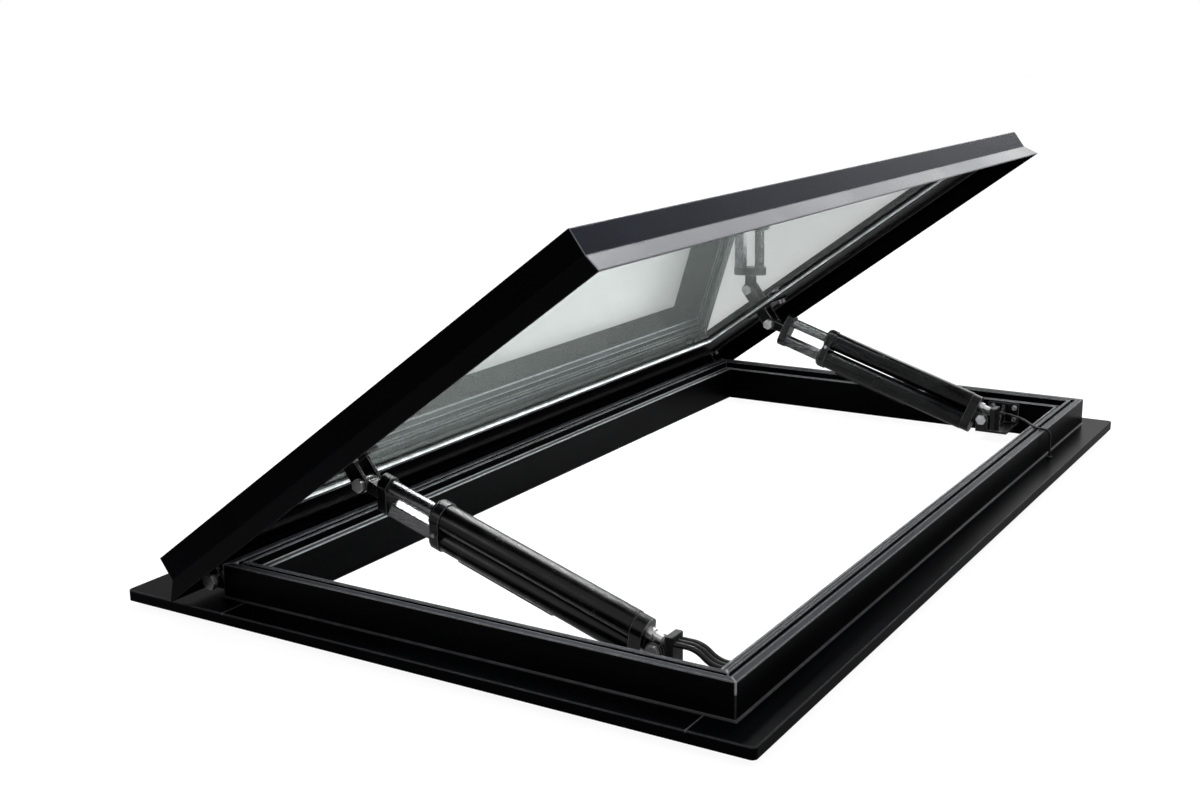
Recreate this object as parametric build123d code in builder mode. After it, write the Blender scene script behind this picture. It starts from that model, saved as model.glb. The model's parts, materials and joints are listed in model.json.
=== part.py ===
"""Opening roof skylight: curb with base flange, glazed lid on side hinges, two twin-tube drives.

Millimetres. +X points from the hinge side to the side that opens, +Z is up. The origin is the
middle of the base, at the level of the curb's lower edge. The lid stands open at open_angle.
"""
import os
from math import atan2, cos, degrees, hypot, pi, radians, sin, tan

from build123d import *

os.makedirs("parts", exist_ok=True)

# Base flange and curb
base_length = 1000.0
base_width = 1660.0
flange_reach = 48.0
hinge_reach = 145.0
flange_sheet = 2.5
flange_lip = 16.0
flange_corner = 7.0
curb_rise = 50.0
curb_drop = 26.0
curb_wall = 44.0
curb_skin = 3.0
rim_outer = 12.0
groove_width = 8.0
groove_depth = 8.0
rim_inner = 6.0
ledge_depth = 14.0
ledge_lip = 3.0
edge_round = 1.0

# Lid seal
seal_height = 7.5
seal_width = 8.0
seal_line = 6.0
seal_notch = 14.0

# Lid
open_angle = 36.3
hinge_setback = 23.0
hinge_rise = 20.0
lid_behind_hinge = 18.0
lid_beyond_curb = 28.0
lid_side_overhang = 20.0
lid_lip_level = -2.0
lid_fold_level = 24.0
lid_top_level = 60.0
lid_flare = 12.0
lid_sheet = 2.5
top_return = 22.0
rim_seat = 38.0
rear_rim = 118.0
front_rim = 110.0
side_rim = 185.0
nose_width = 20.0
frame_skin = 2.5

# Glazing
pane = 4.0
spacer_height = 6.0
spacer_width = 12.0
gasket_thickness = 2.0
glass_gap = 2.0
bead_cover = 14.0
bead_thickness = 2.5
bead_gap = 0.3

# Side hinges
hinge_plate = 6.0
hinge_eye = 11.0
hinge_gap = 0.5
hinge_ear = 5.0
hinge_wall_plate = 5.0
hinge_plate_height = 40.0
hinge_plate_reach = 46.0
ear_length = 20.0
ear_start = 1.0
ear_foot = 4.0
hinge_bolt = 10.0
bolt_clearance = 0.05
hex_head = 21.0
hex_thickness = 7.0

# Drives
drive_inset = 70.0
drive_base_setback = 120.0
drive_base_rise = 17.0
drive_closed_run = 418.0
barrel_spread = 7.0
barrel_rise = 17.0
barrel_fall = 20.0
barrel_diameter = 38.0
barrel_wall = 3.0
barrel_stop_gap = 8.0
barrel_end_cap = 8.0
barrel_gland = 16.0
rail_width = 10.0
rail_height = 2.5
rail_length = 160.0
rail_inset = 46.0
round_rod = 20.0
square_rod = 20.0
square_rod_wall = 3.0
square_rod_round = 2.0
rod_clearance = 0.05
rod_grip = 70.0
piston_length = 14.0
yoke_neck = 18.0
yoke_bar = 18.0
yoke_round = 18.0
clamp_thickness = 14.0
clamp_offset = 4.0
clamp_round = 21.0
clamp_bore_gap = 0.05
head_bar = 16.0
head_round = 14.0
head_neck = 30.0
clevis_width = 20.0
clevis_gap = 0.1
open_pivot_gap = 1.0
clevis_cheek = 6.0
clevis_round = 12.0
lug_round = 11.0
lug_neck_height = 17.0
drive_pin = 12.0
drive_pin_head = 18.0
pin_head_height = 7.0
ring_round = 8.0
ring_thickness = 2.0
end_fitting_round = 8.0
end_fitting_collar = 9.0
end_fitting_tip = 5.5
end_fitting_length = 22.0

# Drive brackets
bracket_plate = 5.0
base_plate_width = 62.0
base_plate_top = 62.0
shelf_level = 18.0
gusset_reach = 34.0
lid_foot_length = 72.0
lid_foot_outer = 56.0
plate_corner = 3.0

# Junction boxes, bush, grommet and cables
box_setback = 15.0
box_length = 12.0
box_depth = 31.0
box_height = 43.0
box_round = 3.0
cable_diameter = 7.5
cable_pitch = 9.5
cable_inset = 10.0
cable_straight = 30.0
cable_drop = 18.0
cable_arc_share = 0.45
thin_cable_diameter = 4.0
thin_cable_corner = 279.0
thin_cable_straight = 22.0
thin_cable_bend = 12.0
thin_cable_gap = 0.3
bush_depth = 10.0
bush_height = 14.0
grommet_round = 6.0
grommet_height = 3.0

# Levels and places worked out from the sizes above
flange_top = curb_drop
curb_top = flange_top + curb_rise
rear_edge = -base_length / 2
front_edge = base_length / 2
half_width = base_width / 2
curb_rear = rear_edge + hinge_reach
curb_front = front_edge - flange_reach
curb_half = half_width - flange_reach
inner_front = curb_front - curb_wall
inner_half = curb_half - curb_wall
skin_line = curb_wall - curb_skin
hinge_x = curb_rear - hinge_setback
hinge_z = flange_top + hinge_rise
lid_rear = -lid_behind_hinge
lid_front = curb_front - hinge_x + lid_beyond_curb
lid_half = half_width + lid_side_overhang
pocket_rear = lid_rear + rear_rim - nose_width
pocket_front = lid_front - front_rim + nose_width
pocket_half = lid_half - side_rim + nose_width
frame_top = lid_top_level - lid_sheet
bar_line = lid_flare + lid_sheet
thin_cable_y = curb_half - thin_cable_corner
outer_pane_level = frame_top - bead_gap - pane
inner_pane_level = outer_pane_level - spacer_height - pane
nose_top = inner_pane_level - gasket_thickness

SIDES = ("front", "rear", "left", "right")

world = Plane.XY
lid_frame = Plane(
    origin=(hinge_x, 0, hinge_z),
    x_dir=(cos(radians(open_angle)), 0, sin(radians(open_angle))),
    z_dir=(-sin(radians(open_angle)), 0, cos(radians(open_angle))),
)


def local(frame, plane):
    """A plane given in an assembly's own frame, such as the lid's, as a plane in the world."""
    return Plane(frame.location * plane.location)


def section_plane(frame, side, rear, front, half):
    """Section plane of one side of a rectangular frame, and half that side's outer length.

    In the plane x points inward from the outer edge, y is up and the normal runs along the side.
    """
    if side == "front":
        place = Plane(origin=(front, 0, 0), x_dir=(-1, 0, 0), z_dir=(0, 1, 0))
        return local(frame, place), half
    if side == "rear":
        place = Plane(origin=(rear, 0, 0), x_dir=(1, 0, 0), z_dir=(0, -1, 0))
        return local(frame, place), half
    middle = (rear + front) / 2
    if side == "left":
        place = Plane(origin=(middle, -half, 0), x_dir=(0, 1, 0), z_dir=(1, 0, 0))
    else:
        place = Plane(origin=(middle, half, 0), x_dir=(0, -1, 0), z_dir=(-1, 0, 0))
    return local(frame, place), (front - rear) / 2


def mitre_ends(section, reach):
    """Cuts both ends of a side at 45 degrees, so that it meets its neighbours at the corners."""
    for end in (1, -1):
        cut = Plane(
            origin=section.origin + section.z_dir * reach * end,
            z_dir=section.x_dir + section.z_dir * end,
        )
        split(bisect_by=cut, keep=Keep.BOTTOM)


# Curb: a hollow section with a seal groove in its rim, an inner ledge and a deeper inner skin
groove_end = rim_outer + groove_width
step_line = groove_end + rim_inner
groove_floor = curb_top - groove_depth
ledge_level = curb_top - ledge_depth
curb_outline = (
    (0, flange_top),
    (0, curb_top),
    (rim_outer, curb_top),
    (rim_outer, groove_floor),
    (groove_end, groove_floor),
    (groove_end, curb_top),
    (step_line, curb_top),
    (step_line, ledge_level),
    (skin_line, ledge_level),
    (skin_line, ledge_level + ledge_lip),
    (curb_wall, ledge_level + ledge_lip),
    (curb_wall, 0),
    (skin_line, 0),
    (skin_line, flange_top),
)
curb_chamber = (
    (curb_skin, flange_top + curb_skin),
    (curb_skin, groove_floor - curb_skin),
    (step_line - curb_skin, groove_floor - curb_skin),
    (step_line - curb_skin, ledge_level - curb_skin),
    (skin_line, ledge_level - curb_skin),
    (skin_line, flange_top + curb_skin),
)
for side in SIDES:
    section, reach = section_plane(world, side, curb_rear, curb_front, curb_half)
    with BuildPart() as curb:
        with BuildSketch(section) as curb_section:
            with BuildLine():
                Polyline(*curb_outline, close=True)
            make_face()
            fillet(curb_section.vertices().group_by(Axis.Y)[-1], edge_round)
            with BuildLine():
                Polyline(*curb_chamber, close=True)
            make_face(mode=Mode.SUBTRACT)
        extrude(amount=reach, both=True)
        mitre_ends(section, reach)
    curb.part.label = f"curb_{side}"
    export_step(curb.part, f"parts/curb_{side}.step")

# Base flange: trays with a down-turned edge at the front and rear, strips between them
rear_tray_end = curb_rear + skin_line
front_tray_start = curb_front - skin_line
for side, start, end in (("rear", rear_edge, rear_tray_end), ("front", front_tray_start, front_edge)):
    outward = -1 if side == "rear" else 1
    with BuildPart() as tray:
        with BuildSketch(Plane.XY.offset(flange_top)) as tray_outline:
            with Locations(((start + end) / 2, 0)):
                Rectangle(end - start, base_width)
            outer_corners = tray_outline.vertices().group_by(Axis.X)[0 if side == "rear" else -1]
            fillet(outer_corners, flange_corner)
        extrude(amount=-flange_lip)
        with BuildSketch(Plane.XY.offset(flange_top - flange_sheet)) as tray_hollow:
            with Locations(((start + end) / 2 - outward * flange_sheet, 0)):
                Rectangle(end - start, base_width - 2 * flange_sheet)
            hollow_corners = tray_hollow.vertices().group_by(Axis.X)[0 if side == "rear" else -1]
            fillet(hollow_corners, flange_corner - flange_sheet)
        extrude(amount=-flange_lip, mode=Mode.SUBTRACT)
        chamfer(tray.edges().filter_by(GeomType.LINE).group_by(Axis.Z)[-1].group_by(Axis.X)
                [0 if side == "rear" else -1], edge_round)
    tray.part.label = f"flange_{side}"
    export_step(tray.part, f"parts/flange_{side}.step")

strip_width = flange_reach + skin_line
for side, outward in (("left", -1), ("right", 1)):
    with BuildPart() as strip:
        with BuildSketch(Plane.YZ.offset(rear_tray_end)) as strip_section:
            with Locations((outward * (half_width - strip_width / 2), flange_top - flange_sheet / 2)):
                Rectangle(strip_width, flange_sheet)
            with Locations((outward * (half_width - flange_sheet / 2), flange_top - flange_lip / 2)):
                Rectangle(flange_sheet, flange_lip)
            top_corner = strip_section.vertices().group_by(Axis.Y)[-1].sort_by(Axis.X)[
                0 if side == "left" else -1]
            chamfer(top_corner, edge_round)
        extrude(amount=front_tray_start - rear_tray_end)
    strip.part.label = f"flange_{side}"
    export_step(strip.part, f"parts/flange_{side}.step")

# Lid fascia: folded sheet with a top return, an upright face and a flared drip lip
flare_rise = lid_fold_level - lid_lip_level
lip_width = lid_sheet * hypot(lid_flare, flare_rise) / flare_rise
inner_fold = lid_lip_level + (lid_flare + lid_sheet - lip_width) * flare_rise / lid_flare
fascia_outline = (
    (0, lid_lip_level),
    (lid_flare, lid_fold_level),
    (lid_flare, lid_top_level),
    (lid_flare + top_return, lid_top_level),
    (lid_flare + top_return, frame_top),
    (lid_flare + lid_sheet, frame_top),
    (lid_flare + lid_sheet, inner_fold),
    (lip_width, lid_lip_level),
)
for side in SIDES:
    section, reach = section_plane(lid_frame, side, lid_rear, lid_front, lid_half)
    with BuildPart() as fascia:
        with BuildSketch(section) as fascia_section:
            with BuildLine():
                Polyline(*fascia_outline, close=True)
            make_face()
            top_edge = fascia_section.vertices().group_by(Axis.Y)[-1].sort_by(Axis.X)[0]
            fillet(top_edge, edge_round)
        extrude(amount=reach, both=True)
        mitre_ends(section, reach)
    fascia.part.label = f"lid_fascia_{side}"
    export_step(fascia.part, f"parts/lid_fascia_{side}.step")

# Lid frame: hollow bars under the fascia, with a nose that carries the glass all round
pocket_sizes = (pocket_front - pocket_rear, 2 * pocket_half)
pocket_middle = ((pocket_front + pocket_rear) / 2, 0)
bar_rear = lid_rear + bar_line
bar_front = lid_front - bar_line
bar_half = lid_half - bar_line
opening_half = lid_half - side_rim
bars = {
    "left": ((bar_rear, bar_front), (-bar_half, -opening_half)),
    "right": ((bar_rear, bar_front), (opening_half, bar_half)),
    "rear": ((bar_rear, lid_rear + rear_rim), (-opening_half, opening_half)),
    "front": ((lid_front - front_rim, bar_front), (-opening_half, opening_half)),
}
for side, (along_u, along_y) in bars.items():
    bar_middle = (sum(along_u) / 2, sum(along_y) / 2)
    bar_size = (along_u[1] - along_u[0], along_y[1] - along_y[0])
    if side in ("left", "right"):
        inward = 1 if side == "left" else -1
        chamber_middle = (bar_middle[0], bar_middle[1] - inward * nose_width / 2)
        chamber_size = (bar_size[0], bar_size[1] - nose_width - 2 * frame_skin)
    else:
        inward = 1 if side == "rear" else -1
        chamber_middle = (bar_middle[0] - inward * nose_width / 2, bar_middle[1])
        chamber_size = (bar_size[0] - nose_width - 2 * frame_skin, bar_size[1])
    with BuildPart() as bar:
        with BuildSketch(local(lid_frame, Plane.XY.offset(rim_seat))):
            with Locations(bar_middle):
                Rectangle(*bar_size)
        extrude(amount=frame_top - rim_seat)
        with BuildSketch(local(lid_frame, Plane.XY.offset(nose_top))):
            with Locations(pocket_middle):
                Rectangle(*pocket_sizes)
        extrude(amount=frame_top - nose_top, mode=Mode.SUBTRACT)
        with BuildSketch(local(lid_frame, Plane.XY.offset(rim_seat + frame_skin))):
            with Locations(chamber_middle):
                Rectangle(*chamber_size)
        extrude(amount=frame_top - rim_seat - 2 * frame_skin, mode=Mode.SUBTRACT)
    bar.part.label = f"lid_frame_{side}"
    export_step(bar.part, f"parts/lid_frame_{side}.step")


def lid_ring(level, height, outer_inset, width, bevel=0):
    """A flat ring in the glass pocket: its outer edge stands in from the pocket's wall."""
    with BuildPart() as ring:
        with BuildSketch(local(lid_frame, Plane.XY.offset(level))):
            with Locations(pocket_middle):
                outer = (pocket_sizes[0] - 2 * outer_inset, pocket_sizes[1] - 2 * outer_inset)
                Rectangle(*outer)
                Rectangle(outer[0] - 2 * width, outer[1] - 2 * width, mode=Mode.SUBTRACT)
        extrude(amount=height)
        if bevel:
            chamfer(ring.edges().group_by(Axis(lid_frame.origin, lid_frame.z_dir))[-1], bevel)
    return ring


# Glazing: gasket on the nose, two panes with a spacer between them, a bead on top
gasket = lid_ring(nose_top, gasket_thickness, 0, nose_width)
gasket.part.label = "glazing_gasket"
export_step(gasket.part, "parts/glazing_gasket.step")

for name, level in (("glass_inner", inner_pane_level), ("glass_outer", outer_pane_level)):
    with BuildPart() as glass:
        with BuildSketch(local(lid_frame, Plane.XY.offset(level))):
            with Locations(pocket_middle):
                Rectangle(pocket_sizes[0] - 2 * glass_gap, pocket_sizes[1] - 2 * glass_gap)
        extrude(amount=pane)
    glass.part.label = name
    export_step(glass.part, f"parts/{name}.step")

spacer = lid_ring(inner_pane_level + pane, spacer_height, glass_gap, spacer_width)
spacer.part.label = "glass_spacer"
export_step(spacer.part, "parts/glass_spacer.step")

bead = lid_ring(frame_top, bead_thickness, -bead_cover / 2, bead_cover * 1.5 + glass_gap, edge_round)
bead.part.label = "glazing_bead"
export_step(bead.part, "parts/glazing_bead.step")

# Lid seal: a rubber bead under the lid that meets the curb's rim, with a gap for the thin cable
seal_rear = curb_rear - hinge_x + seal_line
seal_front = curb_front - hinge_x - seal_line
seal_half = curb_half - seal_line
with BuildPart() as seal:
    with BuildSketch(local(lid_frame, Plane.XY.offset(rim_seat))):
        with Locations(((seal_rear + seal_front) / 2, 0)):
            Rectangle(seal_front - seal_rear + seal_width, 2 * seal_half + seal_width)
            Rectangle(seal_front - seal_rear - seal_width, 2 * seal_half - seal_width,
                      mode=Mode.SUBTRACT)
    extrude(amount=-seal_height)
    lower_edges = seal.edges().group_by(Axis(lid_frame.origin, lid_frame.z_dir))[0]
    fillet(lower_edges, seal_width / 2 - edge_round / 2)
    with BuildSketch(local(lid_frame, Plane.XY.offset(rim_seat))):
        with Locations((seal_front, thin_cable_y)):
            Rectangle(2 * seal_width, seal_notch)
    extrude(amount=-seal_height, mode=Mode.SUBTRACT)
seal.part.label = "lid_seal"
export_step(seal.part, "parts/lid_seal.step")

# Side hinges: a bracket on the curb's rear wall, an ear under the lid and a bolt through both
bracket_out = curb_half - hinge_ear - hinge_gap
bracket_in = bracket_out - hinge_plate
ear_in = bracket_out + hinge_gap
ear_out = ear_in + hinge_ear
bolt_hole = hinge_bolt / 2 + bolt_clearance
hinge_plate_back = curb_rear - hinge_wall_plate
hinge_plate_level = flange_top + hinge_plate_height / 2
for side, outward in (("left", -1), ("right", 1)):
    plate_middle = outward * (bracket_out - hinge_plate_reach / 2)
    with BuildPart() as bracket:
        with BuildSketch(Plane.YZ.offset(hinge_plate_back)) as plate:
            with Locations((plate_middle, hinge_plate_level)):
                Rectangle(hinge_plate_reach, hinge_plate_height)
            fillet(plate.vertices(), plate_corner)
        extrude(amount=hinge_wall_plate)
        with BuildSketch(Plane.XZ.offset(-outward * bracket_out)):
            with Locations(((hinge_x + hinge_plate_back) / 2, hinge_z)):
                Rectangle(hinge_plate_back - hinge_x, 2 * hinge_eye)
            with Locations((hinge_x, hinge_z)):
                Circle(hinge_eye)
                Circle(bolt_hole, mode=Mode.SUBTRACT)
        extrude(amount=outward * hinge_plate)
    bracket.part.label = f"hinge_bracket_{side}"
    export_step(bracket.part, f"parts/hinge_bracket_{side}.step")

ear_foot_reach = lid_half - bar_line - ear_in
for side, outward in (("left", -1), ("right", 1)):
    with BuildPart() as ear:
        with BuildSketch(local(lid_frame, Plane.XZ.offset(-outward * ear_in))):
            with Locations((ear_start + ear_length / 2, rim_seat / 2)):
                Rectangle(ear_length, rim_seat)
            Circle(hinge_eye)
            Circle(bolt_hole, mode=Mode.SUBTRACT)
        extrude(amount=-outward * hinge_ear)
        with BuildSketch(local(lid_frame, Plane.XY.offset(rim_seat))):
            with Locations((ear_start + ear_length / 2, outward * (ear_in + ear_foot_reach / 2))):
                Rectangle(ear_length, ear_foot_reach)
        extrude(amount=-ear_foot)
    ear.part.label = f"hinge_ear_{side}"
    export_step(ear.part, f"parts/hinge_ear_{side}.step")

with BuildPart() as hinge_bolts:
    for outward in (-1, 1):
        head_face = ear_out + hinge_gap
        with BuildSketch(Plane.XZ.offset(-outward * head_face)):
            with Locations((hinge_x, hinge_z)):
                RegularPolygon(hex_head / 2, 6, major_radius=False)
        extrude(amount=-outward * hex_thickness)
        with BuildSketch(Plane.XZ.offset(-outward * head_face)):
            with Locations((hinge_x, hinge_z)):
                Circle(hinge_bolt / 2)
        extrude(amount=outward * (head_face - bracket_in + hex_thickness))
        with BuildSketch(Plane.XZ.offset(-outward * bracket_in)):
            with Locations((hinge_x, hinge_z)):
                RegularPolygon(hex_head / 2, 6, major_radius=False)
        extrude(amount=outward * hex_thickness)
hinge_bolts.part.label = "hinge_bolts"
export_step(hinge_bolts.part, "parts/hinge_bolts.step")

# Drives: places of the two pins and distances along the drive line, from the base pin
drive_base_x = inner_front - drive_base_setback
drive_base_z = flange_top + drive_base_rise
drive_lid_reach = drive_base_x - hinge_x - drive_closed_run
drive_line = inner_half - drive_inset
span_x = drive_base_x - hinge_x - drive_lid_reach * cos(radians(open_angle))
span_z = hinge_z + drive_lid_reach * sin(radians(open_angle)) - drive_base_z
drive_tilt = atan2(span_z, span_x)
reach_open = hypot(span_x, span_z)
reach_closed = hypot(drive_closed_run, hinge_z - drive_base_z)
barrel_start = yoke_neck + yoke_bar
barrel_end = reach_closed - head_neck - head_bar - barrel_stop_gap
barrel_bore = barrel_diameter / 2 - barrel_wall
head_start = reach_open - head_neck - head_bar
rod_start = barrel_end - rod_grip
barrel_distance = hypot(2 * barrel_spread, barrel_rise + barrel_fall)
pair_middle = (0, (barrel_rise - barrel_fall) / 2)
pin_hole = drive_pin / 2 + rod_clearance
print(f"drive: tilt {degrees(drive_tilt):.3f} deg, open {reach_open:.2f}, closed {reach_closed:.2f}")


def rod_section(square, gap):
    """The round or the square rod's section, wider by the gap all round."""
    if square:
        RectangleRounded(square_rod + 2 * gap, square_rod + 2 * gap, square_rod_round + gap)
    else:
        Circle(round_rod / 2 + gap)


def barrel(drive, spot, square):
    """A closed tube with a gland bored for its rod; the square rod's has a rail underneath."""
    with BuildPart() as tube:
        with BuildSketch(local(drive, Plane.YZ.offset(barrel_start))):
            with Locations(spot):
                Circle(barrel_diameter / 2)
        extrude(amount=barrel_end - barrel_start)
        chamfer(tube.edges().filter_by(GeomType.CIRCLE), edge_round)
        if square:
            with BuildSketch(local(drive, Plane.YZ.offset(barrel_end - rail_inset))):
                with Locations((spot[0], spot[1] - barrel_diameter / 2)):
                    Rectangle(rail_width, 2 * rail_height)
            extrude(amount=-rail_length)
        with BuildSketch(local(drive, Plane.YZ.offset(barrel_start + barrel_end_cap))):
            with Locations(spot):
                Circle(barrel_bore)
        extrude(amount=barrel_end - barrel_gland - barrel_start - barrel_end_cap, mode=Mode.SUBTRACT)
        with BuildSketch(local(drive, Plane.YZ.offset(barrel_end))):
            with Locations(spot):
                rod_section(square, rod_clearance)
        extrude(amount=-barrel_gland, mode=Mode.SUBTRACT)
    return tube


def end_lug(drive, pin_place, neck):
    """A lug about a pin: its eye and the neck that joins it to a cross bar."""
    with BuildPart() as lug:
        with BuildSketch(local(drive, Plane.XZ)):
            with Locations((pin_place + neck / 2, 0)):
                Rectangle(abs(neck), lug_neck_height)
            with Locations((pin_place, 0)):
                Circle(lug_round)
                Circle(pin_hole, mode=Mode.SUBTRACT)
        extrude(amount=clevis_width / 2, both=True)
    return lug


for side, outward in (("left", -1), ("right", 1)):
    drive = Plane(
        origin=(drive_base_x, outward * drive_line, drive_base_z),
        x_dir=(-cos(drive_tilt), 0, sin(drive_tilt)),
        z_dir=(sin(drive_tilt), 0, cos(drive_tilt)),
    )
    upper_spot = (-outward * barrel_spread, barrel_rise)
    lower_spot = (outward * barrel_spread, -barrel_fall)
    pair_lean = degrees(atan2(barrel_rise + barrel_fall, -2 * outward * barrel_spread))

    upper_barrel = barrel(drive, upper_spot, square=False)
    upper_barrel.part.label = f"upper_barrel_{side}"
    export_step(upper_barrel.part, f"parts/upper_barrel_{side}.step")

    lower_barrel = barrel(drive, lower_spot, square=True)
    lower_barrel.part.label = f"lower_barrel_{side}"
    export_step(lower_barrel.part, f"parts/lower_barrel_{side}.step")

    with BuildPart() as yoke:
        with BuildSketch(local(drive, Plane.YZ.offset(yoke_neck))):
            with Locations(pair_middle):
                SlotCenterToCenter(barrel_distance, 2 * yoke_round, rotation=pair_lean)
        extrude(amount=yoke_bar)
        add(end_lug(drive, 0, yoke_neck).part)
    yoke.part.label = f"base_yoke_{side}"
    export_step(yoke.part, f"parts/base_yoke_{side}.step")

    with BuildPart() as clamp:
        with BuildSketch(local(drive, Plane.YZ.offset(barrel_end - clamp_offset))):
            with Locations(pair_middle):
                SlotCenterToCenter(barrel_distance, 2 * clamp_round, rotation=pair_lean)
            with Locations(upper_spot, lower_spot):
                Circle(barrel_diameter / 2 + clamp_bore_gap, mode=Mode.SUBTRACT)
        extrude(amount=-clamp_thickness)
    clamp.part.label = f"barrel_clamp_{side}"
    export_step(clamp.part, f"parts/barrel_clamp_{side}.step")

    with BuildPart() as end_fitting:
        with BuildSketch(local(drive, Plane.YZ.offset(yoke_neck))):
            with Locations(upper_spot):
                Circle(end_fitting_round)
        extrude(amount=-end_fitting_collar)
        with BuildSketch(local(drive, Plane.YZ.offset(yoke_neck))):
            with Locations(upper_spot):
                Circle(end_fitting_tip)
        extrude(amount=-end_fitting_length)
    end_fitting.part.label = f"end_fitting_{side}"
    export_step(end_fitting.part, f"parts/end_fitting_{side}.step")

    with BuildPart() as upper_rod:
        with BuildSketch(local(drive, Plane.YZ.offset(rod_start))):
            with Locations(upper_spot):
                rod_section(False, 0)
        extrude(amount=head_start - rod_start)
        with BuildSketch(local(drive, Plane.YZ.offset(rod_start))):
            with Locations(upper_spot):
                Circle(barrel_bore - rod_clearance)
        extrude(amount=piston_length)
    upper_rod.part.label = f"upper_rod_{side}"
    export_step(upper_rod.part, f"parts/upper_rod_{side}.step")

    with BuildPart() as lower_rod:
        with BuildSketch(local(drive, Plane.YZ.offset(rod_start))):
            with Locations(lower_spot):
                rod_section(True, 0)
                Rectangle(square_rod - 2 * square_rod_wall, square_rod - 2 * square_rod_wall,
                          mode=Mode.SUBTRACT)
        extrude(amount=head_start - rod_start)
    lower_rod.part.label = f"lower_rod_{side}"
    export_step(lower_rod.part, f"parts/lower_rod_{side}.step")

    with BuildPart() as crosshead:
        with BuildSketch(local(drive, Plane.YZ.offset(head_start))):
            with Locations(pair_middle):
                SlotCenterToCenter(barrel_distance, 2 * head_round, rotation=pair_lean)
        extrude(amount=head_bar)
        add(end_lug(drive, reach_open, -head_neck).part)
    crosshead.part.label = f"crosshead_{side}"
    export_step(crosshead.part, f"parts/crosshead_{side}.step")

# Base brackets: a plate on the curb's inner wall, a shelf with a gusset, two cheeks about the pin
base_cheek_in = clevis_width / 2 + clevis_gap
base_cheek_out = base_cheek_in + clevis_cheek
base_plate_middle = drive_base_x - clevis_round + base_plate_width / 2
base_plate_height = base_plate_top - shelf_level
gusset_foot = inner_half - bracket_plate - gusset_reach
for side, outward in (("left", -1), ("right", 1)):
    pin_y = outward * drive_line
    with BuildPart() as base_bracket:
        with BuildSketch(Plane.XZ.offset(-outward * inner_half)) as wall_plate:
            with Locations((base_plate_middle, shelf_level + base_plate_height / 2)):
                Rectangle(base_plate_width, base_plate_height)
            fillet(wall_plate.vertices(), plate_corner)
        extrude(amount=outward * bracket_plate)
        shelf_width = inner_half - drive_line + base_cheek_out
        with BuildSketch(Plane.XY.offset(shelf_level + bracket_plate)):
            with Locations((base_plate_middle, outward * (inner_half - shelf_width / 2))):
                Rectangle(base_plate_width, shelf_width)
        extrude(amount=-bracket_plate)
        with BuildSketch(Plane.YZ.offset(base_plate_middle - bracket_plate / 2)):
            with BuildLine():
                Polyline(
                    (outward * gusset_foot, shelf_level + bracket_plate),
                    (outward * (inner_half - bracket_plate), shelf_level + bracket_plate),
                    (outward * (inner_half - bracket_plate), base_plate_top - bracket_plate),
                    close=True,
                )
            make_face()
        extrude(amount=bracket_plate)
        for cheek in (-1, 1):
            with BuildSketch(Plane.XZ.offset(-pin_y - cheek * base_cheek_in)):
                with Locations((drive_base_x, (shelf_level + drive_base_z) / 2)):
                    Rectangle(2 * clevis_round, drive_base_z - shelf_level)
                with Locations((drive_base_x, drive_base_z)):
                    Circle(clevis_round)
                    Circle(pin_hole, mode=Mode.SUBTRACT)
            extrude(amount=-cheek * clevis_cheek)
    base_bracket.part.label = f"base_bracket_{side}"
    export_step(base_bracket.part, f"parts/base_bracket_{side}.step")

with BuildPart() as base_pins:
    for outward in (-1, 1):
        near_face = Plane.XZ.offset(-outward * drive_line + base_cheek_out)
        far_face = Plane.XZ.offset(-outward * drive_line - base_cheek_out)
        with BuildSketch(near_face):
            with Locations((drive_base_x, drive_base_z)):
                RegularPolygon(drive_pin_head / 2, 6, major_radius=False)
        extrude(amount=pin_head_height)
        with BuildSketch(near_face):
            with Locations((drive_base_x, drive_base_z)):
                Circle(drive_pin / 2)
        extrude(amount=-2 * base_cheek_out - 2 * ring_thickness)
        with BuildSketch(far_face):
            with Locations((drive_base_x, drive_base_z)):
                Circle(ring_round)
        extrude(amount=-ring_thickness)
base_pins.part.label = "base_pins"
export_step(base_pins.part, "parts/base_pins.step")

# Lid brackets: a foot on the rim's underside and two cheeks about the lid pin
lid_cheek_in = clevis_width / 2 + open_pivot_gap
lid_cheek_out = lid_cheek_in + clevis_cheek
lid_foot_width = lid_cheek_out + lid_foot_outer
for side, outward in (("left", -1), ("right", 1)):
    pin_y = outward * drive_line
    with BuildPart() as lid_bracket:
        with BuildSketch(local(lid_frame, Plane.XY.offset(rim_seat))) as foot:
            foot_middle = pin_y + outward * (lid_foot_outer - lid_cheek_out) / 2
            with Locations((drive_lid_reach, foot_middle)):
                Rectangle(lid_foot_length, lid_foot_width)
            fillet(foot.vertices(), plate_corner)
        extrude(amount=-bracket_plate)
        for cheek in (-1, 1):
            with BuildSketch(local(lid_frame, Plane.XZ.offset(-pin_y - cheek * lid_cheek_in))):
                with Locations((drive_lid_reach, (rim_seat - bracket_plate) / 2)):
                    Rectangle(2 * clevis_round, rim_seat - bracket_plate)
                with Locations((drive_lid_reach, 0)):
                    Circle(clevis_round)
                    Circle(pin_hole, mode=Mode.SUBTRACT)
            extrude(amount=-cheek * clevis_cheek)
    lid_bracket.part.label = f"lid_bracket_{side}"
    export_step(lid_bracket.part, f"parts/lid_bracket_{side}.step")

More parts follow.
